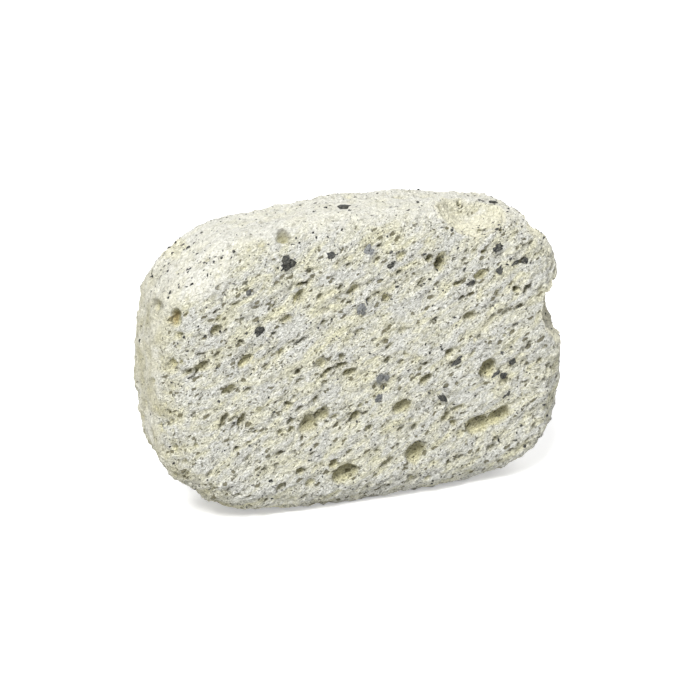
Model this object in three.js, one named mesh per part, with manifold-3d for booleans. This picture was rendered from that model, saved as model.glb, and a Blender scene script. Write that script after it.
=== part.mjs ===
// A pumice stone: one loose piece of pale volcanic foam, cut to a hand-sized
// block and tumbled, so that its edges are round and its faces slightly domed.
// It stands on one of its long narrow sides, which is worn flat in the middle.
//
// Units are millimetres. +X runs along the stone, +Y through its thickness
// and +Z is up. The origin is the middle of the bottom of its bounding box.
// The shape is worked out round the stone's own centre and lifted at the end.

import * as THREE from 'three';
import { mergeVertices } from 'three/addons/utils/BufferGeometryUtils.js';
import Module from 'manifold-3d';

// ---- Driving dimensions ----------------------------------------------------

const LENGTH = 100;
const THICKNESS = 30.6;
const HEIGHT = 70.2;            // top to bottom, before the base is worn flat
const EDGE_RADIUS = 9.1;        // round between a big face and a narrow side
const CORNER_TOP_LEFT = 16;     // corners of the outline, seen from the front
const CORNER_TOP_RIGHT = 11;
const CORNER_BOTTOM_LEFT = 16;
const CORNER_BOTTOM_RIGHT = 11;
const END_CROWN = 0.16;         // share of the length lost at the corners
const SIDE_CROWN = 0.18;        // share of the height lost at the corners
const FACE_CROWN = 0.17;        // share of the thickness lost at the corners
const BASE_WEAR = 0.8;          // depth of stone worn away to make the flat base
const LUMP_HEIGHT = 0.2;        // the slow swelling of every face
const SPINE_SHARE = 0.9;        // how far the flat spine reaches into the ends
const GRID_STEP = 3.3;          // spacing of the surface's vertices
const BITE_DETAIL = 3;          // how finely a bite's ellipsoid is divided
const PIT_DETAIL = 1;           // how finely a pit's ellipsoid is divided
const HALVINGS = 30;            // steps in the search for the skin
const OVERREACH = 1.1;          // how far past its end that search starts
const WELD = 1e-4;              // vertices nearer than this are one

const HALF_LENGTH = LENGTH / 2;
const HALF_THICKNESS = THICKNESS / 2;
const HALF_HEIGHT = HEIGHT / 2;

// ---- Hollows ---------------------------------------------------------------
// Places are from the stone's centre. A hollow is an ellipsoid: its size is
// three radii, and its turn is in degrees about Y, from +X towards +Z.

// Pieces that broke off the rim: a scoop across the top, a chip at each upper
// corner, a nick beside one of them and a notch in the right end.
const BITES = [
  { place: [26.3, -11, 35], radii: [8.6, 10.5, 7], turn: -4 },
  { place: [43.3, -5.5, 29.2], radii: [3.8, 9, 4.4], turn: 30 },
  { place: [41.8, -6.5, 27.6], radii: [2.6, 7, 2], turn: 10 },
  { place: [-42, 5, 30], radii: [4.2, 8, 4], turn: 0 },
  { place: [52.6, -17, 7.8], radii: [10.6, 19, 10], turn: 14 },
];

// The largest gas bubbles that a face has cut open. Each lies where a line out
// of the stone's middle plane, along Y through its x and z, leaves the stone
// on the named side. The turn follows the slant of the foam's grain.
const FRONT = -1;
const BACK = 1;
const PITS = [
  // On the front face.
  { x: -7, side: FRONT, z: -24.9, radii: [3.1, 2.6, 2.1], turn: 20 },
  { x: 10.4, side: FRONT, z: -22, radii: [2.9, 1.9, 2.3], turn: 60 },
  { x: 28.7, side: FRONT, z: -17, radii: [5.4, 2.2, 2.2], turn: 22 },
  { x: 28.2, side: FRONT, z: -3.8, radii: [2.3, 2.2, 2], turn: 40 },
  { x: 6.3, side: FRONT, z: -10.1, radii: [2.2, 1.8, 1.3], turn: 14 },
  { x: -14.3, side: FRONT, z: -10.4, radii: [3.6, 1.6, 2.3], turn: 30 },
  { x: 16.3, side: FRONT, z: 22.6, radii: [1.6, 2.8, 1.2], turn: 60 },
  { x: -16.8, side: FRONT, z: 20.2, radii: [2.6, 1.8, 0.9], turn: 58 },
  // On the front's rounded edges.
  { x: -45, side: FRONT, z: 17, radii: [1.3, 2.2, 2.3], turn: 0 },
  { x: -19.3, side: FRONT, z: 32.2, radii: [1.6, 1.6, 1.5], turn: 20 },
  // On the back face.
  { x: -26, side: BACK, z: 12, radii: [3.2, 2.6, 2.1], turn: 140 },
  { x: 4, side: BACK, z: -9, radii: [2.5, 2.8, 2], turn: 120 },
  { x: 22, side: BACK, z: 17, radii: [2.6, 2, 1.7], turn: 155 },
  { x: 30, side: BACK, z: -14, radii: [2.1, 2.4, 1.8], turn: 100 },
  { x: -12, side: BACK, z: -22, radii: [3.7, 2, 1.8], turn: 148 },
];

// ---- The block -------------------------------------------------------------

// The radius of the outline's corner in the quarter that holds (x, z).
function cornerRadius(x, z) {
  if (z > 0) {
    return x < 0 ? CORNER_TOP_LEFT : CORNER_TOP_RIGHT;
  }
  return x < 0 ? CORNER_BOTTOM_LEFT : CORNER_BOTTOM_RIGHT;
}

// Distance outside (or, below zero, inside) two walls that meet in a round.
function roundedCorner(a, b, radius) {
  const outside = Math.hypot(Math.max(a + radius, 0), Math.max(b + radius, 0));
  return outside + Math.min(Math.max(a + radius, b + radius), 0) - radius;
}

// Three slow waves that cross each other, so no face is quite even.
function lumps(x, y, z) {
  const across = Math.sin(x / 8.5 + 1.1) * Math.cos(z / 7.5 - 0.6);
  const slanting = Math.sin(x / 13 - z / 9 + y / 6);
  return LUMP_HEIGHT * (across + slanting);
}

// Above zero outside the block, below zero inside. The outline is a rounded
// rectangle whose sides bow outwards, and the thickness also falls off
// towards the corners.
function blockField(x, y, z) {
  const u = x / HALF_LENGTH;
  const w = z / HALF_HEIGHT;
  const endWall = Math.abs(x) / (1 - END_CROWN * w * w) - HALF_LENGTH;
  const sideWall = Math.abs(z) / (1 - SIDE_CROWN * u * u) - HALF_HEIGHT;
  const dome = 1 - FACE_CROWN * (u * u + w * w) / 2;
  const faceWall = Math.abs(y) / dome - HALF_THICKNESS;
  const outline = roundedCorner(endWall, sideWall, cornerRadius(x, z));
  return roundedCorner(outline, faceWall, EDGE_RADIUS) + lumps(x, y, z);
}

// Goes from start towards end in halving steps to where the block's skin is.
function onSkin(start, end) {
  const point = new THREE.Vector3();
  let inside = 0;
  let outside = OVERREACH;
  for (let i = 0; i < HALVINGS; i++) {
    const middle = (inside + outside) / 2;
    point.lerpVectors(start, end, middle);
    if (blockField(point.x, point.y, point.z) < 0) {
      inside = middle;
    } else {
      outside = middle;
    }
  }
  return point;
}

// Keeps only the places and joins the vertices that share one.
function welded(geometry) {
  geometry.deleteAttribute('normal');
  geometry.deleteAttribute('uv');
  return mergeVertices(geometry, WELD);
}

// The middle of the stone nearest to a point: a flat patch at Y = 0.
function nearestSpine(point) {
  const reachX = SPINE_SHARE * (HALF_LENGTH - HALF_THICKNESS);
  const reachZ = SPINE_SHARE * (HALF_HEIGHT - HALF_THICKNESS);
  return new THREE.Vector3(
    THREE.MathUtils.clamp(point.x, -reachX, reachX),
    0,
    THREE.MathUtils.clamp(point.z, -reachZ, reachZ),
  );
}

// A box with a grid on each face. Each vertex slides towards the spine until
// it lies on the skin.
function blockGeometry() {
  const box = new THREE.BoxGeometry(
    LENGTH,
    THICKNESS,
    HEIGHT,
    Math.round(LENGTH / GRID_STEP),
    Math.round(THICKNESS / GRID_STEP),
    Math.round(HEIGHT / GRID_STEP),
  );
  const geometry = welded(box);
  const places = geometry.getAttribute('position');
  const corner = new THREE.Vector3();
  for (let i = 0; i < places.count; i++) {
    corner.fromBufferAttribute(places, i);
    const found = onSkin(nearestSpine(corner), corner);
    places.setXYZ(i, found.x, found.y, found.z);
  }
  return geometry;
}

// ---- The hollows' shapes ---------------------------------------------------

// An ellipsoid of the given radii, turned about Y and put in place.
function ellipsoid(place, radii, turn, detail) {
  const geometry = welded(new THREE.IcosahedronGeometry(1, detail));
  geometry.scale(...radii);
  geometry.rotateY(-THREE.MathUtils.degToRad(turn));
  geometry.translate(...place);
  return geometry;
}

function biteGeometry(bite) {
  return ellipsoid(bite.place, bite.radii, bite.turn, BITE_DETAIL);
}

function pitGeometry(pit) {
  const start = new THREE.Vector3(pit.x, 0, pit.z);
  const end = new THREE.Vector3(pit.x, pit.side * HALF_THICKNESS, pit.z);
  const mouth = onSkin(start, end);
  return ellipsoid(mouth.toArray(), pit.radii, pit.turn, PIT_DETAIL);
}

// ---- Cutting ---------------------------------------------------------------

const wasm = await Module();
wasm.setup();

function solidFrom(geometry) {
  const vertProperties = new Float32Array(geometry.getAttribute('position').array);
  const triVerts = new Uint32Array(geometry.index.array);
  return new wasm.Manifold(new wasm.Mesh({ numProp: 3, vertProperties, triVerts }));
}

function geometryFrom(solid) {
  const mesh = solid.getMesh();
  const geometry = new THREE.BufferGeometry();
  geometry.setAttribute('position', new THREE.BufferAttribute(mesh.vertProperties, 3));
  geometry.setIndex(new THREE.BufferAttribute(mesh.triVerts, 1));
  return geometry;
}

// What is below the worn base: a slab wider than the stone.
function belowBase() {
  const slab = new THREE.BoxGeometry(2 * LENGTH, 2 * LENGTH, HEIGHT);
  slab.translate(0, 0, BASE_WEAR - HALF_HEIGHT - HALF_HEIGHT);
  return welded(slab);
}

function stoneGeometry() {
  const hollows = [
    belowBase(),
    ...BITES.map(biteGeometry),
    ...PITS.map(pitGeometry),
  ];
  let stone = solidFrom(blockGeometry());
  for (const hollow of hollows) {
    stone = stone.subtract(solidFrom(hollow));
  }
  const geometry = geometryFrom(stone);
  geometry.computeBoundingBox();
  const { min, max } = geometry.boundingBox;
  geometry.translate(-(min.x + max.x) / 2, -(min.y + max.y) / 2, -min.z);
  geometry.computeVertexNormals();
  return geometry;
}

// ---- The part --------------------------------------------------------------

const PUMICE = new THREE.MeshStandardMaterial({
  color: 0xd6d3c4,
  roughness: 0.95,
  metalness: 0,
});

const stone = new THREE.Mesh(stoneGeometry(), PUMICE);
stone.name = 'stone';

const part = new THREE.Group();
part.add(stone);

export default part;
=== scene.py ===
# %% [markdown]
# # A pumice stone
# Pumice is volcanic glass that froze while it was full of gas, like bread
# that set while it was rising. The gas bubbles were drawn out as the froth
# flowed, so the whole stone has a slanting grain. This one was cut to a
# hand-sized block and tumbled until its edges were round.
#
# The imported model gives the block's size and place. Everything here is worked
# out in millimetres from the middle of that block, and turned into metres at
# the end, because a stone's pits and crystals are easier to think of that way.

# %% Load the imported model
import itertools
import math

import bpy
import numpy as np
from mathutils import Matrix, Vector


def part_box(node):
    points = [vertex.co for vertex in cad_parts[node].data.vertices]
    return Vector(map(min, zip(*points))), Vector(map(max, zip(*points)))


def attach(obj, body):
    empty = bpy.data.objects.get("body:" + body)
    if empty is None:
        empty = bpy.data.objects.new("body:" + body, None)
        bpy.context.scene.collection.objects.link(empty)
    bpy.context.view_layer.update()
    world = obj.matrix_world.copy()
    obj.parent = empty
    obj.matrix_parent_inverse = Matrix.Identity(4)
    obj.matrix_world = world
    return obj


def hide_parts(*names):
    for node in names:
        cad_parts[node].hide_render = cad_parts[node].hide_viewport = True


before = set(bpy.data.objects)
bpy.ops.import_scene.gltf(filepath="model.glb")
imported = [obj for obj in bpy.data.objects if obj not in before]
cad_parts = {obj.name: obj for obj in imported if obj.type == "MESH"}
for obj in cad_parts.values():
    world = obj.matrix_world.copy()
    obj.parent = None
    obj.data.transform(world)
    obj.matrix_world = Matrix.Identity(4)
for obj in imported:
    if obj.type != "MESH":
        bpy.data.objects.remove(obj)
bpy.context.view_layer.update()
MM = 0.001
low, high = (np.array(corner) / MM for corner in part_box("stone"))
SIZE = high - low
print("the stone's box in millimetres:", SIZE.round(1))

# %% [markdown]
# ## The block
# The block is described by a rule and not by a mesh: a function says how far
# any point is outside the skin. Its outline is a rectangle with round corners
# whose sides bow outwards, its thickness falls off towards the corners, and
# the two meet in a round edge. A rule like this can be cut and roughened
# before a single face exists.

# %% The block's driving sizes
BASE_WEAR = 0.8                                  # stone worn off the bottom
SWELL = 0.2                                      # height of the slow waves
HALF_LENGTH = SIZE[0] / 2
HALF_THICKNESS = SIZE[1] / 2 - 0.7 * SWELL
HALF_HEIGHT = (SIZE[2] + BASE_WEAR - 0.75 * SWELL) / 2
FLOOR_LEVEL = BASE_WEAR - HALF_HEIGHT            # the base, from the middle
MIDDLE = np.array([0.0, 0.0, -FLOOR_LEVEL])      # from the origin to the middle
EDGE_RADIUS = 9.1
CORNERS = {"top left": 16.0, "top right": 11.0, "bottom left": 16.0, "bottom right": 11.0}
END_CROWN, SIDE_CROWN, FACE_CROWN = 0.16, 0.18, 0.17
print("half sizes:", round(HALF_LENGTH, 2), round(HALF_THICKNESS, 2), round(HALF_HEIGHT, 2))


# %% The rule for the block
def round_meeting(a, b, radius):
    """Distance outside two walls whose own distances are a and b, and which
    meet in a quarter circle of the given radius."""
    a, b = a + radius, b + radius
    past = np.hypot(np.maximum(a, 0), np.maximum(b, 0))
    return past + np.minimum(np.maximum(a, b), 0) - radius


def corner_radius(x, z):
    """The outline's corner radius in the quarter that holds (x, z)."""
    top = np.where(x < 0, CORNERS["top left"], CORNERS["top right"])
    bottom = np.where(x < 0, CORNERS["bottom left"], CORNERS["bottom right"])
    return np.where(z > 0, top, bottom)


def block_distance(p):
    """How far points are outside the smooth block, in millimetres. Each wall
    is a coordinate divided by its bow, less half the size."""
    x, y, z = p.T
    u, w = x / HALF_LENGTH, z / HALF_HEIGHT
    end_wall = np.abs(x) / (1 - END_CROWN * w**2) - HALF_LENGTH
    side_wall = np.abs(z) / (1 - SIDE_CROWN * u**2) - HALF_HEIGHT
    dome = 1 - FACE_CROWN * (u**2 + w**2) / 2
    face_wall = np.abs(y) / dome - HALF_THICKNESS
    outline = round_meeting(end_wall, side_wall, corner_radius(x, z))
    waves = np.sin(x / 8.5 + 1.1) * np.cos(z / 7.5 - 0.6) + np.sin(x / 13 - z / 9 + y / 6)
    return round_meeting(outline, face_wall, EDGE_RADIUS) + SWELL * waves


# %% [markdown]
# ## Chance that repeats
# The stone needs thousands of accidents, and they have to fall the same way
# on every run. A number is made for each whole-number place in space by
# mixing its three coordinates, so nothing is drawn from a clock. Smooth noise
# is then the blend of such numbers at a cell's eight corners.

# %% Repeatable chance and smooth noise
MIX = np.array([374761393, 668265263, 2246822519], np.uint32)
NOISE_GAIN = 1.5                                  # brings the noise to about -1 to 1


def chance(cell, seed):
    """A number from 0 to 1 for each whole-number place: the coordinates times
    large odd numbers, added, then folded onto themselves twice."""
    whole = cell.astype(np.int64).astype(np.uint32)
    h = (whole * MIX).sum(-1, dtype=np.uint32) + np.uint32((seed * 3266489917) % 2**32)
    h = (h ^ (h >> np.uint32(13))) * np.uint32(1274126177)
    h = (h ^ (h >> np.uint32(16))) * np.uint32(2246822519)
    return (h ^ (h >> np.uint32(13))) / 2**32


def noise(p, seed):
    """Smooth noise of about -1 to 1: at each corner of the point's cell a
    random slope is followed to the point, and the eight results are blended
    with the weights 6t^5 - 15t^4 + 10t^3."""
    cell = np.floor(p)
    t = p - cell
    ease = t**3 * (t * (t * 6 - 15) + 10)
    total = np.zeros(len(p))
    for corner in np.ndindex(2, 2, 2):
        at = np.array(corner)
        slope = np.stack([chance(cell + at, seed + k) for k in (11, 23, 37)], -1) * 2 - 1
        weight = np.where(at == 1, ease, 1 - ease).prod(-1)
        total += weight * (slope * (t - at)).sum(-1)
    return total * NOISE_GAIN


def layered(p, seed, layers=3):
    """Noise at one size, plus half as much at half the size, and so on."""
    total = np.zeros(len(p))
    for k in range(layers):
        total += noise(p * 2**k, seed + 101 * k) / 2**k
    return total


# %% [markdown]
# ## The grain
# The froth flowed up to the right and a little backwards. Bubbles, ridges and
# colour bands are all drawn out that way, so most of what follows is worked
# out in coordinates that lie along the flow.

# %% Coordinates along the flow
ALONG = np.array([0.85, 0.15, 0.48])
ALONG /= np.linalg.norm(ALONG)
ACROSS = np.cross([0.0, 1.0, 0.0], ALONG)
ACROSS /= -np.linalg.norm(ACROSS)
THROUGH = np.cross(ACROSS, ALONG)
FLOW = np.stack([ALONG, ACROSS, THROUGH])        # rows: along, across, through
print("flow frame:", FLOW.round(2).tolist())


def in_flow(p):
    """Points or directions seen in the flow's own three axes."""
    return p @ FLOW.T


# %% [markdown]
# ## A net over the block
# A box with a fine grid on each of its six faces is pulled in until every
# grid point lies on the rule's skin. Neighbouring faces of the box share
# their rows, so the net has no seam and no pole, and its meshes stay nearly
# square, which a globe's would not.

# %% The grid on a box
CELLS = (222, 40, 155)                            # along X, Y and Z


def box_net(cells):
    """Places on a box from -1 to 1 and the quads that join them. Each face is
    a grid of two parameters, and grid points that two faces share are one."""
    corners, quads, count = [], [], 0
    for axis in range(3):
        a, b = [k for k in range(3) if k != axis]
        for side in (0, cells[axis]):
            i, j = np.meshgrid(np.arange(cells[a] + 1), np.arange(cells[b] + 1), indexing="ij")
            place = np.zeros((*i.shape, 3), int)
            place[..., axis], place[..., a], place[..., b] = side, i, j
            number = count + np.arange(i.size).reshape(i.shape)
            ring = [number[:-1, :-1], number[1:, :-1], number[1:, 1:], number[:-1, 1:]]
            outward = (side > 0) == (axis != 1)
            quads.append(np.stack(ring if outward else ring[::-1], -1).reshape(-1, 4))
            corners.append(place.reshape(-1, 3))
            count += i.size
    places, first = np.unique(np.concatenate(corners), axis=0, return_inverse=True)
    return places / np.array(cells) * 2 - 1, first.reshape(-1)[np.concatenate(quads)]


net, QUADS = box_net(CELLS)
print("the net has", len(net), "points and", 2 * len(QUADS), "triangles")

# %% [markdown]
# ## Broken places
# Pieces have come off the rim: a scoop across the top, a chip at each upper
# corner, a nick in one of them and a notch in the right end. Each is an
# ellipsoid taken out of the rule. Noise shifts the point that is tested, so
# that the break is ragged, as it is in a stone that tears from bubble to
# bubble.

# %% The broken places
# Middle, radii and turn in degrees about Y, from +X towards +Z.
BITES = [
    ((26.3, -11, 35), (8.6, 10.5, 7), -4),
    ((43.3, -5.5, 29.2), (3.8, 9, 4.4), 30),
    ((41.8, -6.5, 27.6), (2.6, 7, 2.0), 10),
    ((-42, 5, 30), (4.2, 8, 4.0), 0),
    ((52.6, -17, 7.8), (10.6, 19, 10), 14),
]


def turned(p, degrees):
    """Points turned back about Y by an angle counted from +X towards +Z."""
    c, s = math.cos(math.radians(degrees)), math.sin(math.radians(degrees))
    x, y, z = p.T
    return np.stack([x * c + z * s, y, z * c - x * s], -1)


def bite_depth(p):
    """How far points are inside the nearest bite, about: one less the length
    of the point measured in radii, times the smallest radius."""
    depth = np.full(len(p), -np.inf)
    for middle, radii, turn in BITES:
        q = turned(p - middle, turn) / radii
        depth = np.maximum(depth, (1 - np.linalg.norm(q, axis=-1)) * min(radii))
    return depth


def stone_distance(p, ragged):
    """The block less its bites: the larger of the two distances."""
    return np.maximum(block_distance(p), bite_depth(p + ragged))


# %% Pull the net onto the stone
SPINE_SHARE = 0.9                                 # how far the spine reaches into the ends
BOX_MARGIN = 1.02                                 # the net's box is this much larger
OVERREACH = 1.06                                  # how far past its end a search starts
TEAR_SHIFT, TEAR_SIZE, TEAR_SEED = 0.9, 3.2, 5    # of the noise that frays a break
half = np.array([HALF_LENGTH, HALF_THICKNESS, HALF_HEIGHT])
reach = SPINE_SHARE * (half - HALF_THICKNESS)
outer = net * half * BOX_MARGIN
spine = np.clip(outer, -reach, reach)


def three_noises(p, seed):
    """Three unlike noises at once, to shift a point any way."""
    return np.stack([noise(p, seed + 7 * k) for k in range(3)], -1)


def fray(p):
    """The shift that makes a break ragged: three noises of one size."""
    return TEAR_SHIFT * three_noises(p / TEAR_SIZE, TEAR_SEED)


def pull_in(spine, outer, steps=24):
    """Halves the stretch between an inside and an outside point until it
    closes on the skin."""
    inside, outside = np.zeros(len(outer)), np.ones(len(outer)) * OVERREACH
    ragged = fray(outer)
    for _ in range(steps):
        middle = (inside + outside) / 2
        p = spine + (outer - spine) * middle[:, None]
        is_in = stone_distance(p, ragged) < 0
        inside, outside = np.where(is_in, middle, inside), np.where(is_in, outside, middle)
    return spine + (outer - spine) * inside[:, None]


skin = pull_in(spine, outer)
print("skin box:", skin.min(0).round(2), skin.max(0).round(2))


# %% Which way the skin faces
def net_normals(p):
    """The direction out of the net at each point: the quads' diagonals
    crossed, added up over the quads that meet there."""
    a, b, c, d = (p[QUADS[:, k]] for k in range(4))
    face = np.cross(c - a, d - b)
    total = np.zeros_like(p)
    for axis in range(3):
        share = np.repeat(face[:, axis], 4)
        total[:, axis] = np.bincount(QUADS.ravel(), share, len(p))
    return total / np.maximum(np.linalg.norm(total, axis=1), 1e-12)[:, None]


facing = net_normals(skin)
print("faces point outwards:", bool((facing * (skin - spine)).sum(-1).mean() > 0))

# %% A smooth rise
def rise(x, start, end):
    """0 below start, 1 above end, and a smooth rise between."""
    t = np.clip((x - start) / (end - start), 0, 1)
    return t * t * (3 - 2 * t)


# %% [markdown]
# ## Bubbles that the skin cuts open
# A gas bubble is an ellipsoid drawn out along the flow. Where the skin's
# point lies inside a bubble, the stone there is missing as far as the
# bubble's far wall, straight in. Working that distance out for every point
# gives pits with sharp rims and round floors, as real ones have.


# %% The far wall of a bubble
def far_wall(q, inward, radii):
    """How far from q, along inward, an ellipsoid's far wall is, or 0 for a
    point outside it. It is the larger root of |(q + t d) / r|^2 = 1."""
    a = ((inward / radii) ** 2).sum(-1)
    b = (q * inward / radii**2).sum(-1)
    c = ((q / radii) ** 2).sum(-1) - 1
    root = (-b + np.sqrt(np.maximum(b * b - a * c, 0))) / a
    return np.where(c < 0, root, 0)


def foam(p, inward, size, stretch, share, seed, smallest=0.35):
    """Depth of the bubbles of one size. Space along the flow is cut into
    cells, a share of the cells hold one bubble each at a chance place, and
    each point looks at its own cell and the 26 round it."""
    cell_size = np.array([size * stretch, size, size]) * 1.25
    q = in_flow(p)
    d = in_flow(inward)
    home = np.floor(q / cell_size)
    depth = np.zeros(len(p))
    for step in np.ndindex(3, 3, 3):
        cell = home + np.array(step) - 1
        jitter = np.stack([chance(cell, seed + k) for k in (1, 2, 3)], -1)
        middle = (cell + 0.15 + 0.7 * jitter) * cell_size
        grown = smallest + (1 - smallest) * chance(cell, seed + 4) ** 2
        grown = grown * (chance(cell, seed + 5) < share)
        long = stretch * (0.6 + 0.8 * chance(cell, seed + 6))
        radius = np.maximum(0.5 * size * grown, 1e-6)
        radii = np.stack([radius * np.minimum(long, stretch), radius, radius], -1)
        depth = np.maximum(depth, far_wall(q - middle, d, radii))
    return depth


# %% Large pits, each where this stone has it
# A point beyond the pit, its radii and its turn about Y.
START_SHARE = 0.85                                # of the stone that a line may start in
FRONT, BACK = -30.0, 30.0                         # Y of a point beyond each big face
PITS = [
    ((-7.0, FRONT, -24.9), (3.2, 2.6, 2.3), 20),
    ((-9.8, FRONT, -21.8), (1.3, 2.0, 1.0), 62),
    ((10.4, FRONT, -22.3), (3.1, 2.1, 2.5), 60),
    ((26.0, FRONT, -17.8), (3.1, 2.1, 2.4), 20),
    ((31.3, FRONT, -16.2), (3.3, 2.2, 1.9), 32),
    ((28.0, FRONT, -3.8), (2.5, 2.4, 2.2), 50),
    ((6.8, FRONT, -10.1), (2.5, 2.0, 1.6), 14),
    ((-15.6, FRONT, -11.2), (2.7, 1.7, 2.2), 30),
    ((-12.6, FRONT, -9.4), (2.3, 1.6, 1.7), 40),
    ((-31.1, FRONT, -8.3), (1.7, 2.2, 0.8), 60),
    ((-35.2, FRONT, -8.2), (1.5, 1.6, 0.6), 52),
    ((-5.6, FRONT, 0.0), (2.0, 1.4, 1.1), 20),
    ((-7.6, FRONT, 1.9), (1.9, 1.6, 0.6), 10),
    ((-17.2, FRONT, 19.2), (2.1, 1.8, 0.7), 58),
    ((-16.2, FRONT, 21.8), (1.7, 1.5, 0.5), 18),
    ((16.3, FRONT, 22.6), (1.4, 3.4, 1.2), 60),
    ((13.6, FRONT, 24.2), (0.9, 2.2, 0.7), 50),
    ((23.4, FRONT, 9.6), (2.0, 1.2, 1.1), 0),
    ((37.6, FRONT, 14.4), (1.5, 2.6, 0.7), 42),
    ((34.9, FRONT, 14.5), (0.9, 2.4, 0.8), 0),
    ((20.6, FRONT, 17.8), (1.3, 1.8, 0.6), 8),
    ((-39.5, FRONT, 5.5), (1.9, 1.5, 1.1), 20),
    ((-45.0, -14, 17.0), (1.3, 2.3, 2.3), 0),
    ((-47.5, -6.4, 18.6), (1.5, 1.6, 1.0), 40),
    ((-19.3, -10.9, 32.2), (1.6, 1.6, 1.5), 20),
    ((-26, BACK, 12), (3.2, 2.6, 2.1), 140),
    ((4, BACK, -9), (2.5, 2.8, 2.0), 120),
    ((22, BACK, 17), (2.6, 2.0, 1.7), 155),
    ((30, BACK, -14), (2.1, 2.4, 1.8), 100),
    ((-12, BACK, -22), (3.7, 2.0, 1.8), 148),
]

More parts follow.
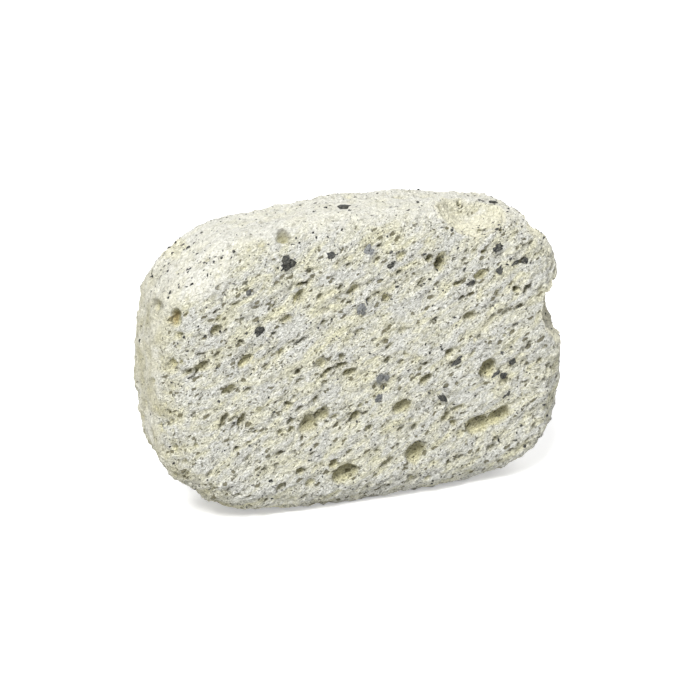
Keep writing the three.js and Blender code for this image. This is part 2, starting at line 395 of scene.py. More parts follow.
# %% Small slots on the front face
# The place along X and Z, the length and width of the mouth, the turn about Y
# and the gloom: how far the floor is darkened with painted shade, from 0 to 1.
SLOTS = [
    (-30.6, 10.3, 1.8, 1.3, -30, 0.9), (-36.1, 13.6, 3.2, 2.0, 30, 0.45), (-39.8, 8.5, 2.7, 0.8, 5, 0.9),
    (-42.9, 4.4, 3.0, 1.1, 45, 0.9), (-40.9, 4.2, 3.3, 0.8, 50, 0.7), (-29.0, 23.6, 1.2, 1.0, 20, 0.7),
    (-12.3, 18.4, 1.7, 1.2, 40, 0.7), (-18.7, -4.2, 1.1, 0.9, 0, 0.9), (-20.1, -5.8, 2.0, 1.3, -20, 0.8),
    (-13.9, -5.5, 2.2, 1.4, 70, 0.7), (-17.7, -7.2, 2.2, 1.1, 40, 0.8), (-34.9, -7.1, 3.0, 1.4, 45, 0.8),
    (-29.4, -1.3, 2.5, 1.1, 30, 0.7), (-17.7, 1.7, 1.6, 1.3, 20, 0.7), (-17.1, -0.2, 1.5, 1.0, 0, 0.7),
    (-17.1, 8.8, 4.4, 0.8, 30, 0.7), (-11.6, 12.5, 1.7, 1.3, 40, 0.7), (-7.5, 4.0, 1.8, 1.4, -30, 0.8),
    (-22.5, 17.9, 1.6, 0.9, 80, 0.7), (-7.6, 20.2, 1.7, 1.1, 50, 0.8), (-29.8, 5.6, 4.6, 2.1, 40, 0.4),
    (-33.7, -0.6, 3.8, 1.9, 25, 0.4), (-11.3, 0.7, 4.2, 1.4, 35, 0.5), (-19.8, -9.7, 1.9, 1.3, 60, 0.8),
    (-22.2, -12.3, 1.9, 1.1, 80, 0.6), (-32.4, -14.8, 1.6, 1.3, 20, 0.9), (-22.5, -17.5, 2.6, 1.1, 30, 0.9),
    (-26.1, -20.7, 1.7, 1.0, 0, 1.0), (-17.5, -22.6, 2.4, 1.9, 0, 0.6), (-9.6, -21.7, 2.4, 2.0, 70, 0.6),
    (-23.4, -20.0, 1.3, 0.8, 30, 0.8), (-22.3, -25.7, 3.3, 1.5, 30, 0.4), (-2.3, -10.3, 1.6, 1.0, 20, 0.9),
    (-4.4, -10.3, 2.9, 1.4, 30, 0.6), (6.1, -9.9, 2.4, 1.7, 60, 0.8), (0.7, -20.1, 1.1, 1.0, 0, 0.8),
    (-1.4, -14.0, 2.5, 1.6, 50, 0.5), (-16.6, -29.3, 1.6, 1.0, 10, 0.9), (3.3, -30.2, 1.8, 1.1, 70, 0.8),
    (3.3, -23.2, 3.3, 1.7, 25, 0.35), (3.3, 1.8, 2.0, 1.5, 50, 0.8), (7.8, 2.5, 1.7, 0.9, -30, 0.7),
    (12.5, -0.4, 1.7, 1.2, 30, 0.7), (12.7, -4.2, 4.0, 1.7, 35, 0.7), (37.6, -8.6, 2.5, 1.0, 30, 0.8),
    (42.3, -8.6, 1.8, 0.8, 35, 0.9), (44.7, -5.9, 2.3, 1.6, 90, 0.5), (19.9, -16.3, 1.9, 1.6, 20, 0.45),
    (23.0, -17.5, 1.2, 0.8, 40, 1.0), (9.8, -15.6, 1.7, 1.3, 20, 0.7), (6.3, -15.6, 2.3, 1.2, 40, 0.6),
    (5.8, -19.4, 1.1, 0.9, 0, 1.0), (20.3, -25.1, 1.6, 1.4, 50, 0.8), (21.7, -25.1, 1.8, 0.8, 75, 0.9),
    (18.8, -26.6, 1.7, 1.2, 20, 0.7), (3.0, -30.3, 1.4, 0.8, 70, 0.9), (9.0, -28.1, 1.2, 0.9, 0, 0.9),
    (25.5, -21.3, 1.0, 0.8, 0, 1.0), (30.6, -22.0, 1.6, 1.2, 45, 0.5), (28.7, -23.7, 1.1, 0.9, 0, 0.8),
    (38.3, 1.2, 1.2, 0.7, 70, 1.0), (18.4, 1.5, 1.8, 1.4, 20, 0.5), (17.6, -14.4, 3.0, 1.8, 25, 0.4),
    (20.9, -12.6, 3.0, 1.3, 20, 0.5), (-31.5, 19.1, 1.7, 1.0, 30, 0.7), (-14.5, 24.6, 1.6, 1.1, 40, 0.7),
    (-5.6, 16.3, 1.8, 1.0, 40, 0.8), (-7.7, 17.3, 1.4, 0.9, 20, 0.7), (-30.1, 15.0, 1.6, 0.9, 50, 0.7),
    (-33.8, 13.4, 1.4, 0.9, 30, 0.7), (-23.1, 11.1, 1.9, 1.0, 30, 0.6), (-1.1, 16.5, 1.5, 1.1, 60, 0.8),
    (11.5, 18.7, 1.8, 1.0, 40, 0.7), (21.1, 14.2, 1.8, 1.1, 30, 0.7), (25.6, 4.5, 1.8, 1.0, 30, 0.7),
    (32.2, 9.3, 1.9, 1.0, 40, 0.7), (38.3, 0.7, 1.6, 0.9, 40, 0.7), (41.2, -3.9, 1.8, 1.1, 50, 0.8),
    (13.6, 24.3, 1.9, 1.2, 50, 0.8), (22.1, 23.1, 1.6, 0.9, 50, 0.8), (22.8, 24.9, 1.8, 0.9, 60, 0.8),
    (38.9, 24.9, 1.6, 1.0, 20, 0.8), (36.9, 24.5, 1.5, 0.9, 30, 0.8), (36.0, 21.2, 3.6, 1.0, 25, 0.9),
    (24.3, 17.4, 2.2, 1.0, 10, 0.8), (23.3, 14.9, 1.9, 1.1, 30, 0.8), (34.6, 14.5, 1.7, 1.1, 60, 0.8),
    (30.2, 13.8, 1.7, 1.0, 40, 0.8), (35.4, 10.3, 1.8, 1.1, 30, 0.7), (28.8, 9.0, 1.9, 1.0, 30, 0.8),
    (34.5, 6.1, 2.0, 1.0, 20, 0.8), (14.4, 9.8, 3.4, 0.9, 40, 0.8), (6.5, 21.9, 1.7, 1.2, 30, 0.8),
    (2.3, 28.6, 1.6, 1.0, 20, 0.8), (-5.5, 24.9, 1.6, 1.0, 40, 0.8), (23.4, 9.9, 3.0, 1.7, 20, 0.2),
]
SLOT_DEPTH = 0.9                                  # of a slot, in widths
LARGE_GLOOM = 0.6                                # of a large pit
pits_and_glooms = [(*pit, LARGE_GLOOM) for pit in PITS]
for x, z, length, width, turn, gloom in SLOTS:
    radii = (length / 2, SLOT_DEPTH * width, width / 2)
    pits_and_glooms.append(((x, FRONT, z), radii, turn, gloom))

# %% Small slots on the back
# These fall by seeded chance, along the same grain.
BACK_SLOTS = 90
BACK_REACH_X, BACK_REACH_Z = 44, 29
SLOT_LENGTHS, SLOT_WIDTHS, SLOT_GLOOMS = (1.2, 3.4), (0.8, 1.6), (0.4, 0.9)
SLANT, SLANT_SPREAD = 32, 14                      # degrees about Y
draw = np.random.default_rng(11)
for _ in range(BACK_SLOTS):
    x = draw.uniform(-BACK_REACH_X, BACK_REACH_X)
    z = draw.uniform(-BACK_REACH_Z, BACK_REACH_Z)
    length, width = draw.uniform(*SLOT_LENGTHS), draw.uniform(*SLOT_WIDTHS)
    radii = (length / 2, SLOT_DEPTH * width, width / 2)
    slant, gloom = draw.normal(SLANT, SLANT_SPREAD), draw.uniform(*SLOT_GLOOMS)
    pits_and_glooms.append(((x, BACK, z), radii, slant, gloom))


def on_skin(aims):
    """Where lines to some aims leave the stone. A line starts in the middle
    plane, straight behind its aim unless that is outside the stone."""
    aims = np.array(aims, float)
    return pull_in(np.clip(aims, -START_SHARE * half, START_SHARE * half) * (1, 0, 1), aims)


pit_mouths = on_skin([aim for aim, *_ in pits_and_glooms])


def placed_pits(p, inward):
    """Depth of the listed pits, which is the deepest far wall of any of
    them, and their gloom, a painted shade which grows from the rim to the middle
    and is strongest under the upper rim, where no light falls."""
    depth, gloom = np.zeros(len(p)), np.zeros(len(p))
    for mouth, (_, radii, turn, pit_shade) in zip(pit_mouths, pits_and_glooms):
        near = np.flatnonzero(((p - mouth) ** 2).sum(-1) < (2.5 * max(radii)) ** 2)
        q = turned(p[near] - mouth, turn)
        d = turned(inward[near], turn)
        depth[near] = np.maximum(depth[near], far_wall(q, d, np.array(radii)))
        within = 1 - ((q / radii) ** 2)[:, [0, 2]].sum(-1)
        height = (p[near] - mouth)[:, 2] / radii[2]
        # The gloom is painted shade on the pit's floor, darkest below the upper rim.
        dark = pit_shade * rise(within, 0.0, 0.4) * rise(height, -0.9, 0.3)
        gloom[near] = np.maximum(gloom[near], dark)
    return depth, gloom


# %% [markdown]
# ## Where the stone is worn smooth
# The big faces were sawn and keep every opened bubble. The narrow sides and
# the rim were rubbed, so their pits are fewer and shallower there. The top is
# rubbed most, and one upper corner of the front is nearly smooth.

# %% How rough each part of the skin is
WORN_CORNER = np.array([-38.0, -13.0, 27.0])      # middle of the smooth corner
WORN_REACH = 9.5                                  # how far it reaches
WORN_EDGE = 2.5                                   # how unevenly it ends
SAWN_LEFT = 0.15                                  # of the sawn face, in its middle
SIDE_TILT, TOP_TILT, TILT_RANGE = 0.1, 0.35, 0.46  # where a big face gives way to the rim
ROUGH_ON_TOP, ROUGH_BELOW = 0.66, 0.85            # of the narrow sides
upwards = rise(facing[:, 2], -0.3, 0.3)
big_face = np.clip((np.abs(facing[:, 1]) - SIDE_TILT - TOP_TILT * upwards) / TILT_RANGE, 0, 1)
from_corner = np.linalg.norm(skin - WORN_CORNER, axis=-1) + WORN_EDGE * noise(skin / 4, 29)
big_face *= SAWN_LEFT + (1 - SAWN_LEFT) * rise(from_corner, 0.45 * WORN_REACH, WORN_REACH)
patchy = np.clip(0.5 + 0.9 * layered(in_flow(skin) / (16, 6, 8), 31, 2), 0, 1)
rubbed_roughness = ROUGH_BELOW + (ROUGH_ON_TOP - ROUGH_BELOW) * upwards
roughness = rubbed_roughness + (1 - rubbed_roughness) * big_face
roughness = roughness * (0.7 + 0.5 * patchy)
print("roughness runs from", roughness.min().round(2), "to", roughness.max().round(2))

# %% Add up everything that is missing below the smooth skin
COARSE_LIMIT, MIDDLING_LIMIT = 1.6, 0.8           # deepest that such a bubble is cut
flow_place = in_flow(skin)
wobble = three_noises(skin / 1.6, 61) * 0.28 + three_noises(skin / 0.8, 67) * 0.12
ragged_skin = skin + wobble
inward = -facing

broken = rise(bite_depth(skin + fray(skin)), -0.8, -0.1)
roughness = np.maximum(roughness, 0.85 * broken)
slow = 0.46 * layered(skin / 8.0, 71, 2) + 0.36 * layered(skin / 3.2, 77, 2)
bands = layered(flow_place / (9.0, 3.0, 4.0) + 0.3 * three_noises(skin / 5, 73), 79, 2)
ridges = layered(flow_place / (2.7, 1.4, 1.7), 83, 3)
coarse = foam(ragged_skin, inward, 2.3, 1.8, 0.40, 200)
middling = foam(ragged_skin, inward, 1.35, 1.9, 0.85, 300, smallest=0.5)
pits, gloom = placed_pits(ragged_skin, inward)
fine = layered(flow_place / (1.5, 0.75, 0.85), 89, 2)

missing = slow + roughness * (0.3 * (0.6 - bands) + 0.4 * (0.5 - ridges) + 0.26 * fine)
missing += np.minimum(coarse, COARSE_LIMIT) * roughness
missing += np.minimum(middling, MIDDLING_LIMIT) * roughness * 0.85
missing += pits
surface = skin + inward * missing[:, None]
surface[:, 2] = np.maximum(surface[:, 2], FLOOR_LEVEL)
surface += MIDDLE
print("surface box:", surface.min(0).round(2), surface.max(0).round(2))

# %% [markdown]
# ## From arrays to a mesh
# The arrays go straight into a mesh, with seven values kept at each point for
# the finish: how deep in a hollow it is, how creamy its band of foam is, how
# much it has been rubbed, whether it is in a broken place, how far the floor
# of its pit is painted dark as shade, how far it is darkened by staining that is
# partly painted shade, and how rusty it is. That darkening lies on what looks
# left or down, unevenly.


# %% Make meshes from arrays
def mesh_piece(name, points, faces, smooth, values):
    """A mesh object with its points in metres and some values at each point."""
    mesh = bpy.data.meshes.new(name)
    mesh.from_pydata((points * MM).tolist(), [], faces.tolist())
    mesh.polygons.foreach_set("use_smooth", np.full(len(faces), smooth))
    for title, numbers in values.items():
        layer = mesh.attributes.new(title, "FLOAT", "POINT")
        layer.data.foreach_set("value", numbers.astype(np.float32))
    mesh.update()
    piece = bpy.data.objects.new(name, mesh)
    bpy.context.scene.collection.objects.link(piece)
    return piece


RUSTY = np.array([-44.9, -10.6, 16.6])            # the pit whose wall has gone ochre
RUST_FULL, RUST_ENDS = 1.2, 2.6                   # how far from there
hollow = rise(np.maximum(pits, np.maximum(coarse, middling) * roughness), 0.1, 1.6)
cream = rise(-bands - 0.5 * ridges, -0.9, 0.9)
# Partly staining and partly painted shade: darker on faces that look left and down, unevenly.
stain_and_shade = rise(-facing[:, 0] - 0.5 * facing[:, 2], 0.2, 0.9)
stain_and_shade *= 0.55 + 0.45 * np.clip(noise(skin / 4, 97) * 1.5, -1, 1)
rust = rise(-np.linalg.norm(skin - RUSTY, axis=-1), -RUST_ENDS, -RUST_FULL) * hollow
VALUES = {"hollow": hollow, "cream": cream, "rubbed": 1 - big_face, "broken": broken,
          "gloom": gloom, "stain_and_shade": stain_and_shade, "rust": rust}
stone = mesh_piece("pumice_stone", surface, QUADS, True, VALUES)
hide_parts("stone")
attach(stone, "root")
print("hollow share:", hollow.mean().round(3), "cream share:", cream.mean().round(3))

# %% [markdown]
# ## Crystals
# Dark crystals grew in the lava before it frothed, and they stand half out of
# the foam. Each small one is a lump with twenty flat faces, squashed and
# turned its own way. Each large one is a cluster of such lumps, as shards of
# a broken crystal. All are joined into one piece, because a piece of its own
# for each would be a burden and look no different.

# %% A lump with twenty faces
GOLDEN = (1 + math.sqrt(5)) / 2
LUMP = np.array([np.roll((0, a, b * GOLDEN), k) for k in range(3) for a in (-1, 1) for b in (-1, 1)])


def lump_faces():
    """Triples of corners that are all one edge apart, wound to face outwards."""
    joined = np.isclose(np.linalg.norm(LUMP[:, None] - LUMP, axis=-1), 2)
    triples = np.array([t for t in itertools.combinations(range(12), 3)
                        if joined[t[0], t[1]] and joined[t[1], t[2]] and joined[t[0], t[2]]])
    inside_out = np.linalg.det(LUMP[triples]) < 0
    triples[inside_out] = triples[inside_out][:, ::-1]
    return triples


LUMP_FACES = lump_faces()
LUMP = LUMP / np.linalg.norm(LUMP[0])
print("a lump has", len(LUMP_FACES), "faces")

# %% The crystals that stand out
# A point near the crystal, its length, width and thickness, its turn about Y
# and its tone, from 0 for black to 1 for pale grey.
CRYSTALS = [
    ((-19.3, FRONT, 26.9), (3.9, 3.7, 3.4), 60, 0.05),
    ((-26.5, FRONT, 12.5), (5.5, 2.1, 2.5), 47, 0.05),
    ((-9.1, FRONT, 28.1), (3.5, 2.8, 2.8), 30, 0.2),
    ((-2.3, FRONT, 15.0), (4.5, 3.2, 2.2), 75, 0.6),
    ((-0.8, -14.2, 28.4), (3.0, 2.6, 1.6), 60, 0.7),
    ((-1.7, -6.3, 45.0), (4.8, 3.0, 2.4), 8, 0.15),
    ((4.4, FRONT, 24.0), (2.2, 1.9, 1.8), 20, 0.1),
    ((1.8, FRONT, -2.4), (3.8, 3.1, 2.2), 50, 0.55),
    ((1.0, FRONT, -7.1), (2.5, 2.1, 1.8), 40, 0.5),
    ((16.6, FRONT, -9.8), (3.5, 2.0, 2.0), -48, 0.1),
    ((32.2, FRONT, -10.8), (4.2, 2.6, 2.2), 36, 0.15),
    ((31.9, FRONT, -6.3), (2.4, 2.1, 1.8), 0, 0.1),
    ((20.2, FRONT, -0.6), (4.1, 1.6, 1.8), 36, 0.2),
    ((29.7, FRONT, -5.4), (4.1, 1.5, 1.5), 44, 0.2),
    ((34.1, FRONT, -3.2), (2.0, 1.8, 1.5), 0, 0.15),
    ((30.1, FRONT, 24.5), (3.8, 2.5, 2.2), 10, 0.1),
    ((37.0, FRONT, 21.6), (2.2, 1.8, 1.5), 40, 0.15),
    ((34.4, FRONT, 20.6), (2.8, 1.2, 1.2), 20, 0.15),
    ((30.6, FRONT, 19.3), (2.6, 1.9, 1.6), 60, 0.2),
    ((-29.2, FRONT, 21.5), (2.5, 2.2, 1.8), 30, 0.45),
    ((-39.4, -6.9, 38.0), (2.6, 2.1, 1.8), 30, 0.1),
    ((-44.7, -9.1, 22.2), (2.4, 1.4, 1.4), 75, 0.1),
    ((23.8, FRONT, 17.5), (2.8, 1.4, 1.2), 8, 0.1),
    ((-30.0, 4.1, 45.0), (1.9, 1.1, 1.0), 30, 0.1),
    ((31.7, -4.7, 45.0), (1.8, 1.1, 1.0), 0, 0.1),
    ((34.7, -7.7, 45.0), (2.4, 1.0, 1.0), -40, 0.1),
    ((18.0, -10.2, 45.0), (1.3, 0.9, 0.8), 40, 0.1),
    ((17.1, -12.4, 30.5), (1.1, 0.9, 0.7), 20, 0.1),
    ((19.4, -11.6, 45.0), (0.9, 0.8, 0.7), 0, 0.1),
    ((15.2, -9.0, 45.0), (1.0, 0.8, 0.7), 60, 0.1),
]
SMALL_CRYSTALS = 1200
SUNK, SMALL_SUNK = 0.15, 0.23                     # share of its thickness below its footing
BEDDED = 0.25                                     # depth of a large one's footing in the skin
SHARDS = 6                                        # in the cluster that makes a large one
LOWEST_FOOTING = 1.0                              # none is set lower than this
TOP_FAVOUR = 1.6                                  # how much likelier a small one is on top
STRAY, STRAY_SHARES = 0.25, (1, 1, 0.5)           # of a shard, in its crystal's sizes


# %% Place every crystal
def crystal_frames(normals, turns):
    """Three axes for each crystal: along a turned line laid on the surface,
    across it, and out of the surface."""
    line = np.stack([np.cos(turns), 0 * turns, np.sin(turns)], -1)
    line = line - (line * normals).sum(-1)[:, None] * normals
    line /= np.maximum(np.linalg.norm(line, axis=-1), 1e-6)[:, None]
    return np.stack([line, np.cross(normals, line), normals], 1)


rng = np.random.default_rng(7)
stones_own = on_skin([aim for aim, *_ in CRYSTALS]) + MIDDLE
nearest = np.array([((surface - place) ** 2).sum(-1).argmin() for place in stones_own])
high_ground = np.flatnonzero((hollow < 0.25) & (surface[:, 2] > LOWEST_FOOTING))
likely = 1 + TOP_FAVOUR * (facing[high_ground, 2] > 0.5)
scattered = rng.choice(high_ground, SMALL_CRYSTALS, replace=False, p=likely / likely.sum())

at = np.concatenate([np.repeat(nearest, SHARDS), scattered])
length = 0.5 + 0.8 * rng.random(SMALL_CRYSTALS) ** 3
small_sizes = np.stack([length, length * rng.uniform(0.4, 0.9, SMALL_CRYSTALS),
                        length * rng.uniform(0.6, 0.95, SMALL_CRYSTALS)], -1)
whole = np.repeat([size for _, size, _, _ in CRYSTALS], SHARDS, axis=0)
shard_sizes = whole * rng.uniform(0.4, 0.7, whole.shape)
sizes = np.concatenate([shard_sizes, small_sizes])
shard_turns = np.repeat([turn for _, _, turn, _ in CRYSTALS], SHARDS)
turns = np.radians(np.concatenate([shard_turns, rng.normal(38, 30, SMALL_CRYSTALS)]))
shard_tones = np.repeat([tone for *_, tone in CRYSTALS], SHARDS)
shard_tones = shard_tones + rng.uniform(-0.05, 0.12, len(whole))
tone = np.concatenate([shard_tones, rng.random(SMALL_CRYSTALS) ** 2 * 0.4])

axes = crystal_frames(facing[at], turns)
knocked = LUMP * rng.uniform(0.66, 1.2, (len(at), len(LUMP), 1))
corners = np.einsum("nij,njk->nik", knocked * sizes[:, None] / 2, axes)
footing = surface[at]
strewn = whole * rng.uniform(-STRAY, STRAY, whole.shape) * STRAY_SHARES
of_large = at[:len(whole)]
footing[:len(whole)] = skin[of_large] + MIDDLE - facing[of_large] * BEDDED
footing[:len(whole)] += np.einsum("nj,njk->nk", strewn, axes[:len(whole)])
footing[:, 2] = np.maximum(footing[:, 2], LOWEST_FOOTING)
sunk = np.repeat([SUNK, SMALL_SUNK], [len(whole), SMALL_CRYSTALS])
middles = footing - facing[at] * (sizes[:, 2] * sunk)[:, None]
crystal_points = (corners + middles[:, None]).reshape(-1, 3)
crystal_faces = (LUMP_FACES + len(LUMP) * np.arange(len(at))[:, None, None]).reshape(-1, 3)
crystals = mesh_piece("mineral_grains", crystal_points, crystal_faces, False,
                      {"tone": np.repeat(tone, len(LUMP))})
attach(crystals, "root")
print(len(at), "crystals with", len(crystal_faces), "faces")

# %% [markdown]
# ## The finishes
# Pumice has no polish anywhere. What tells it from plaster is its grain:
# bands of blue-white and cream foam, pinholes too fine to cut in the mesh,
# whose shade is painted in, black specks, and an olive tint where light has
# passed through thin glass walls in a pit. The dots for pinholes and specks
# and the torn glass are each built once as a group of shader nodes, and the
# groups are then placed in the two materials.


# %% Helpers for shader nodes
def add(tree, kind, inputs=None, **settings):
    """Adds a shader node, sets its settings, and fills or links its sockets."""
    node = tree.nodes.new(kind)
    for title, value in settings.items():
        setattr(node, title, value)
    for socket, value in (inputs or {}).items():
        if isinstance(value, bpy.types.NodeSocket):
            tree.links.new(value, node.inputs[socket])
        else:
            node.inputs[socket].default_value = value
    return node


def sums(tree, operation, a, b=0.5, clamp=False):
    """One Math node's result."""
    return add(tree, "ShaderNodeMath", {0: a, 1: b}, operation=operation, use_clamp=clamp).outputs[0]


def spread(tree, value, start, end, low=0.0, high=1.0):
    """A value moved from the range start to end into the range low to high, smoothly."""
    inputs = {"Value": value, "From Min": start, "From Max": end, "To Min": low, "To Max": high}
    node = add(tree, "ShaderNodeMapRange", inputs, interpolation_type="SMOOTHSTEP")
    return node.outputs["Result"]


def mixed(tree, share, a, b, how="MIX"):
    """Two colours mixed by a share from 0 to 1."""
    node = add(tree, "ShaderNodeMix", {0: share, 6: a, 7: b}, data_type="RGBA", blend_type=how)
    return node.outputs[2]


def at_points(tree, title):
    """The value that the mesh keeps at each point under a title."""
    return add(tree, "ShaderNodeAttribute", attribute_name=title).outputs["Fac"]


def colour(red, green, blue):
    """A colour given as it looks on a screen, from 0 to 255, made linear."""
    shares = [c / 255 for c in (red, green, blue)]
    return (*[c / 12.92 if c <= 0.04045 else ((c + 0.055) / 1.055) ** 2.4 for c in shares], 1.0)


def flow_millimetres(tree):
    """Object coordinates turned into millimetres along, across and through
    the flow, by one dot product for each."""
    place = add(tree, "ShaderNodeTexCoord").outputs["Object"]
    parts = {}
    for k, axis in enumerate(FLOW / MM):
        dot = add(tree, "ShaderNodeVectorMath", {0: place, 1: tuple(axis)}, operation="DOT_PRODUCT")
        parts[k] = dot.outputs["Value"]
    return add(tree, "ShaderNodeCombineXYZ", parts).outputs[0]


def stretched(tree, vector, amounts):
    """Coordinates multiplied axis by axis."""
    node = add(tree, "ShaderNodeVectorMath", {0: vector, 1: amounts}, operation="MULTIPLY")
    return node.outputs[0]


def new_group(name, inputs, outputs):
    """An empty shader group with named sockets, and its two end nodes."""
    group = bpy.data.node_groups.new(name, "ShaderNodeTree")
    for title, kind in inputs:
        group.interface.new_socket(title, in_out="INPUT", socket_type=kind)
    for title, kind in outputs:
        group.interface.new_socket(title, in_out="OUTPUT", socket_type=kind)
    return group, add(group, "NodeGroupInput").outputs, add(group, "NodeGroupOutput")


def placed(tree, group, inputs):
    """A group placed in a tree with its own values."""
    return add(tree, "ShaderNodeGroup", inputs, node_tree=group).outputs


# %% [markdown]
# ### Dots in cells
# Pinholes and specks are both dots. Space is cut into ragged cells with one
# point in each, and a dot is what is nearer to the point than a radius that
# differs from cell to cell. Stretching space first stretches the dots.

# %% The group for dots: pinholes and specks
def dots_group():
    """Mask: 1 at a dot's middle, falling to 0 at its rim. A cell whose own
    chance number is above Share has no dot; the radius of the others is
    Radius, as a share of a cell, times 0.4 to 1."""
    group, given, result = new_group(
        "dots",
        [("Vector", "NodeSocketVector"), ("Scale", "NodeSocketFloat"),
         ("Radius", "NodeSocketFloat"), ("Share", "NodeSocketFloat")],
        [("Mask", "NodeSocketFloat")])
    cells = add(group, "ShaderNodeTexVoronoi", {"Vector": given["Vector"], "Scale": given["Scale"]})
    own = add(group, "ShaderNodeSeparateColor", {0: cells.outputs["Color"]}).outputs
    radius = sums(group, "MULTIPLY", given["Radius"], spread(group, own[1], 0, 1, 0.4, 1))
    rim = sums(group, "DIVIDE", cells.outputs["Distance"], radius)
    inside = sums(group, "SUBTRACT", 1.0, rim, clamp=True)
    chosen = sums(group, "LESS_THAN", own[0], given["Share"])
    group.links.new(sums(group, "MULTIPLY", inside, chosen), result.inputs["Mask"])
    return group


DOTS = dots_group()

# %% [markdown]
# ### Torn glass
# Between the pits the froth is a sponge of torn glass. The distance to the
# nearest point of a scatter of points is low in the middle of each cell and
# rises to a sharp wall between two cells, which is just the shape of cut
# foam. Two sizes of cell and a crumbly noise are added up.

# %% The group for torn glass
def torn_glass_group():
    """Height: cut foam at two sizes plus crumbs. Dust: the crumbs as a mask."""
    group, given, result = new_group(
        "torn_glass",
        [("Vector", "NodeSocketVector"), ("Cells", "NodeSocketFloat")],
        [("Height", "NodeSocketFloat"), ("Dust", "NodeSocketFloat")])
    drawn = stretched(group, given["Vector"], (0.5, 1.0, 0.9))
    large = add(group, "ShaderNodeTexVoronoi", {"Vector": drawn, "Scale": 1.25}).outputs["Distance"]
    small = add(group, "ShaderNodeTexVoronoi", {"Vector": drawn, "Scale": 2.9}).outputs["Distance"]
    fibrous = stretched(group, given["Vector"], (0.6, 1.1, 1.0))
    crumbs = add(group, "ShaderNodeTexNoise", {"Vector": fibrous, "Scale": 2.2,
                                               "Detail": 4.0, "Roughness": 0.7}).outputs[0]
    cells = sums(group, "ADD", sums(group, "MULTIPLY", large, 0.9), sums(group, "MULTIPLY", small, 0.4))
    height = sums(group, "MULTIPLY", cells, given["Cells"])
    height = sums(group, "ADD", height, sums(group, "MULTIPLY", crumbs, 1.7))
    group.links.new(height, result.inputs["Height"])
    group.links.new(spread(group, crumbs, 0.42, 0.62), result.inputs["Dust"])
    return group


TORN_GLASS = torn_glass_group()

# %% [markdown]
# ### Pumice
# The colour is laid on in layers: the foam's two glasses, the olive of the
# hollows, painted shade in the crevices of the torn glass, in slots, in pinholes
# and on the floors of pits, and last the black specks. Faces that look left and
# down are darkened by staining that is partly painted shade.


# %% The pumice
def new_material(name):
    """A material with only a Principled shader and its output, and its tree."""
    material = bpy.data.materials.new(name)
    material.use_nodes = True
    tree = material.node_tree
    tree.nodes.clear()
    shader = add(tree, "ShaderNodeBsdfPrincipled")
    add(tree, "ShaderNodeOutputMaterial", {"Surface": shader.outputs[0]})
    return material, tree, shader


def shaken(tree, vector, scale, amount):
    """Coordinates shifted any way by noise, so that round dots turn ragged."""
    node = add(tree, "ShaderNodeTexNoise", {"Vector": vector, "Scale": scale, "Detail": 2.0})
    centred = add(tree, "ShaderNodeVectorMath", {0: node.outputs["Color"], 1: (0.5, 0.5, 0.5)},
                  operation="SUBTRACT").outputs[0]
    shift = stretched(tree, centred, (amount, amount, amount))
    return add(tree, "ShaderNodeVectorMath", {0: vector, 1: shift}, operation="ADD").outputs[0]


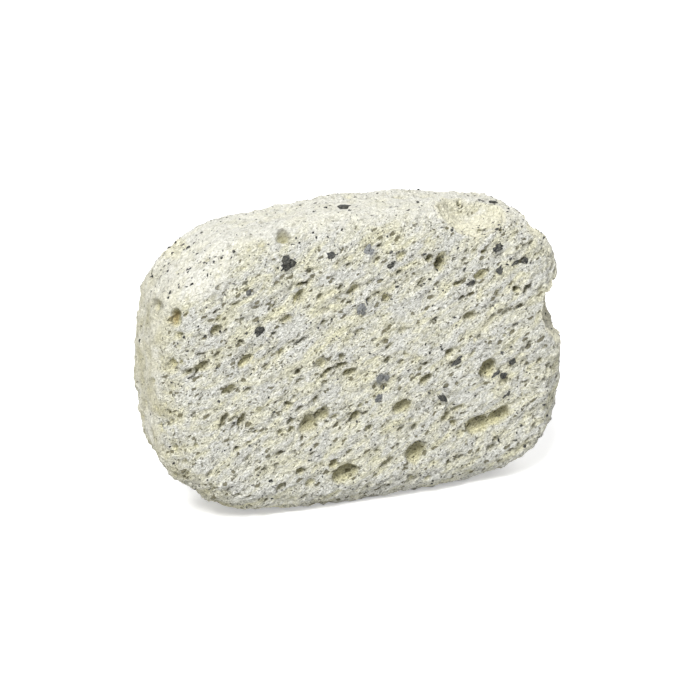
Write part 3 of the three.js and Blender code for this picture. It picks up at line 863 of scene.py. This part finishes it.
def pumice_material():
    """Matt foam: two glasses in bands, olive hollows, pinholes and specks, with painted shade in crevices,
    slots, pinholes and pit floors.
    """
    material, tree, shader = new_material("pumice")
    flow = flow_millimetres(tree)
    ragged = shaken(tree, flow, 1.1, 1.1)
    hollow, cream, rubbed, broken, gloom, stain_and_shade, rust = (at_points(tree, t) for t in VALUES)

    patches = add(tree, "ShaderNodeTexNoise", {
        "Vector": stretched(tree, flow, (0.12, 0.3, 0.25)), "Scale": 1.0, "Detail": 5.0,
        "Roughness": 0.65, "Distortion": 0.6}).outputs[0]
    cream_here = sums(tree, "ADD", sums(tree, "MULTIPLY", cream, 0.5),
                      spread(tree, patches, 0.32, 0.68, -0.45, 0.75), clamp=True)
    foam = mixed(tree, cream_here, colour(216, 216, 209), colour(224, 221, 196))
    yellow = sums(tree, "MULTIPLY", spread(tree, patches, 0.48, 0.72, 0.0, 0.26), cream)
    foam = mixed(tree, yellow, foam, colour(226, 221, 166))
    foam = mixed(tree, sums(tree, "MULTIPLY", rubbed, 0.64), foam, colour(232, 230, 218))
    # Painted shade mixed with staining: faces that look left and down are darkened.
    foam = mixed(tree, sums(tree, "MULTIPLY", stain_and_shade, 0.9), foam, colour(186, 181, 150))
    foam = mixed(tree, sums(tree, "MULTIPLY", broken, 0.75), foam, colour(238, 234, 207))
    foam = mixed(tree, sums(tree, "MULTIPLY", hollow, 0.75), foam, colour(226, 219, 168))
    foam = mixed(tree, sums(tree, "MULTIPLY", rust, 0.75), foam, colour(205, 176, 112))

    glass = placed(tree, TORN_GLASS, {"Vector": ragged, "Cells": 1.0})
    worn = spread(tree, rubbed, 0.2, 0.9, 1.0, 0.5)
    # Painted shade: where the torn glass is low, in its crevices, the colour is darkened to olive, less
    # where the stone is rubbed.
    painted_crevice_shade = sums(tree, "MULTIPLY", spread(tree, glass["Height"], 1.0, 1.4, 0.5, 0.0), worn)
    foam = mixed(tree, painted_crevice_shade, foam, colour(140, 136, 106))
    drawn = stretched(tree, flow, (0.5, 1.1, 1.0))
    grain = add(tree, "ShaderNodeTexNoise", {"Vector": drawn, "Scale": 3.4, "Detail": 1.0}).outputs[0]
    foam = mixed(tree, spread(tree, grain, 0.3, 0.7, 0.0, 0.35), foam, colour(255, 255, 250), "SOFT_LIGHT")
    dull = sums(tree, "MULTIPLY", spread(tree, grain, 0.62, 0.38, 0.0, 0.34), worn)
    foam = mixed(tree, dull, foam, colour(120, 118, 100), "MULTIPLY")

    slots = placed(tree, DOTS, {"Vector": stretched(tree, ragged, (0.45, 1.0, 0.9)),
                                "Scale": 0.8, "Radius": 0.46, "Share": 0.55})["Mask"]
    pinholes = placed(tree, DOTS, {"Vector": stretched(tree, ragged, (0.6, 1.0, 1.0)),
                                   "Scale": 1.9, "Radius": 0.5, "Share": 0.5})["Mask"]
    fewer = spread(tree, rubbed, 0.2, 0.9, 1.0, 0.35)
    slots = sums(tree, "MULTIPLY", spread(tree, slots, 0.1, 0.4), fewer)
    pinholes = sums(tree, "MULTIPLY", spread(tree, pinholes, 0.1, 0.6), fewer)
    # Painted shade: slots and pinholes too small to cut in the mesh get a dark olive colour that stands for
    # the shade inside them.
    foam = mixed(tree, sums(tree, "MULTIPLY", slots, 0.85), foam, colour(98, 93, 66))
    foam = mixed(tree, sums(tree, "MULTIPLY", pinholes, 0.8), foam, colour(110, 106, 84))

    # Painted shade: the floors of the large pits and the slots are darkened to olive-black, most under the
    # upper rim.
    foam = mixed(tree, sums(tree, "MULTIPLY", gloom, 0.9), foam, colour(72, 68, 45))

    specks = placed(tree, DOTS, {"Vector": ragged, "Scale": 0.7, "Radius": 0.22, "Share": 0.55})["Mask"]
    fine_specks = placed(tree, DOTS, {"Vector": flow, "Scale": 1.5, "Radius": 0.22, "Share": 0.35})["Mask"]
    black = sums(tree, "MAXIMUM", spread(tree, specks, 0.05, 0.4), spread(tree, fine_specks, 0.05, 0.4))
    foam = mixed(tree, sums(tree, "MULTIPLY", black, 0.85), foam, colour(52, 53, 54))
    tree.links.new(foam, shader.inputs["Base Color"])

    holes = sums(tree, "MAXIMUM", slots, pinholes)
    height = sums(tree, "SUBTRACT", glass["Height"], sums(tree, "MULTIPLY", holes, 0.8))
    bump = add(tree, "ShaderNodeBump", {"Height": height, "Strength": 1.0, "Distance": 0.5 * MM})
    tree.links.new(bump.outputs[0], shader.inputs["Normal"])
    shader.inputs["Roughness"].default_value = 0.95
    shader.inputs["Specular IOR Level"].default_value = 0.25
    return material


stone.data.materials.append(pumice_material())

# %% [markdown]
# ### Crystals
# The crystals are hornblende and dull glass: nearly black to grey, with flat
# faces that catch the light a little, and pumice dust in their dents.


# %% The crystals' finish
def crystal_material():
    """Dark mineral, each crystal of its own tone, streaked and dusty."""
    material, tree, shader = new_material("dark_mineral")
    flow = flow_millimetres(tree)
    tone = at_points(tree, "tone")
    paleness = sums(tree, "MULTIPLY", tone, tone, clamp=True)
    body = mixed(tree, paleness, colour(24, 25, 25), colour(170, 173, 175))
    streaks = add(tree, "ShaderNodeTexNoise", {
        "Vector": stretched(tree, flow, (0.8, 1.6, 1.6)), "Scale": 2.2, "Detail": 3.0}).outputs[0]
    body = mixed(tree, spread(tree, streaks, 0.5, 0.64, 0.0, 0.4), body, colour(134, 135, 126))
    flecks = add(tree, "ShaderNodeTexNoise", {"Vector": flow, "Scale": 3.2, "Detail": 2.0}).outputs[0]
    body = mixed(tree, spread(tree, flecks, 0.5, 0.62, 0.0, 0.65), body, colour(50, 52, 56))
    dust = placed(tree, TORN_GLASS, {"Vector": flow, "Cells": 0.3})
    body = mixed(tree, sums(tree, "MULTIPLY", dust["Dust"], 0.12), body, colour(190, 187, 168))
    tree.links.new(body, shader.inputs["Base Color"])
    rough = spread(tree, dust["Dust"], 0.0, 1.0, 0.5, 0.9)
    tree.links.new(rough, shader.inputs["Roughness"])
    shader.inputs["Specular IOR Level"].default_value = 0.2
    bump = add(tree, "ShaderNodeBump", {"Height": dust["Height"], "Strength": 1.0, "Distance": 0.25 * MM})
    tree.links.new(bump.outputs[0], shader.inputs["Normal"])
    return material


crystals.data.materials.append(crystal_material())

# %% [markdown]
# ## The stage
# A white floor and a pale room, with one soft light high on the left in front
# and a weak one behind. A floor as bright as it looks would throw so much
# light up that the pits lost their shadows, so the floor and the room light
# the stone less than they show: part of their brightness is for the camera
# alone. The stone is seen a little from the left and from above, through a
# long lens, so that its sides stay nearly parallel.


# %% The floor
FLOOR_HALF_WIDTH = 1.6                            # metres
FLOOR_WHITENESS = 0.84
FLOOR_GLOW = 0.4                                  # seen by the camera alone


def floor_piece(half_width):
    """One flat square under the stone, at height 0."""
    corners = np.array([(-1, -1, 0), (1, -1, 0), (1, 1, 0), (-1, 1, 0)]) * half_width
    floor = mesh_piece("floor", corners / MM, np.array([[0, 1, 2, 3]]), False, {})
    material, tree, shader = new_material("white_floor")
    shader.inputs["Base Color"].default_value = (*[FLOOR_WHITENESS] * 3, 1)
    shader.inputs["Roughness"].default_value = 0.9
    shader.inputs["Specular IOR Level"].default_value = 0.0
    shader.inputs["Emission Color"].default_value = (1, 1, 1, 1)
    seen = add(tree, "ShaderNodeLightPath").outputs["Is Camera Ray"]
    tree.links.new(sums(tree, "MULTIPLY", seen, FLOOR_GLOW), shader.inputs["Emission Strength"])
    floor.data.materials.append(material)
    return floor


floor_piece(FLOOR_HALF_WIDTH)


# %% The lights
def soft_light(name, place, target, size, watts):
    """A square area light at a place, facing a target."""
    light = bpy.data.lights.new(name, "AREA")
    light.size, light.energy = size, watts
    lamp = bpy.data.objects.new(name, light)
    lamp.location = place
    lamp.rotation_euler = (Vector(target) - Vector(place)).to_track_quat("-Z", "Y").to_euler()
    bpy.context.scene.collection.objects.link(lamp)
    return lamp


def pale_room(lighting, seen):
    """A white room that lights the stone a little and looks quite white."""
    world = bpy.data.worlds.new("pale_room")
    bpy.context.scene.world = world
    world.use_nodes = True
    tree = world.node_tree
    background = tree.nodes["Background"]
    background.inputs["Color"].default_value = (1, 1, 1, 1)
    camera_ray = add(tree, "ShaderNodeLightPath").outputs["Is Camera Ray"]
    strength = sums(tree, "ADD", sums(tree, "MULTIPLY", camera_ray, seen - lighting), lighting)
    tree.links.new(strength, background.inputs["Strength"])
    return world


CENTRE = Vector(MIDDLE * MM)
soft_light("key", (-0.62, -0.88, 1.28), CENTRE, 0.6, 38.5)
soft_light("behind", (0.7, 1.1, 0.9), CENTRE, 1.0, 12)
pale_room(lighting=0.4, seen=1.0)

# %% The camera
AZIMUTH, ELEVATION, ROLL = (math.radians(a) for a in (-19.03, 19.85, -0.79))
DISTANCE = 0.487
LENS = 108.4
AIM_SHIFT = (-0.00046, -0.00037)                  # the stone is not quite centred


def place_camera():
    """A camera turned by azimuth, elevation and roll about the stone's middle."""
    back = Vector((math.sin(AZIMUTH) * math.cos(ELEVATION),
                   -math.cos(AZIMUTH) * math.cos(ELEVATION), math.sin(ELEVATION)))
    right = Vector((math.cos(AZIMUTH), math.sin(AZIMUTH), 0))
    up = back.cross(right)
    tilted = right * math.cos(ROLL) + up * math.sin(ROLL)
    upright = up * math.cos(ROLL) - right * math.sin(ROLL)
    camera = bpy.data.objects.new("camera", bpy.data.cameras.new("camera"))
    camera.data.lens, camera.data.sensor_width = LENS, 36.0
    shift = tilted * AIM_SHIFT[0] + upright * AIM_SHIFT[1]
    axes = Matrix((tilted, upright, back)).transposed().to_4x4()
    camera.matrix_world = Matrix.Translation(CENTRE + back * DISTANCE + shift) @ axes
    bpy.context.scene.collection.objects.link(camera)
    bpy.context.scene.camera = camera
    return camera


place_camera()
bpy.context.scene.view_settings.view_transform = "Standard"
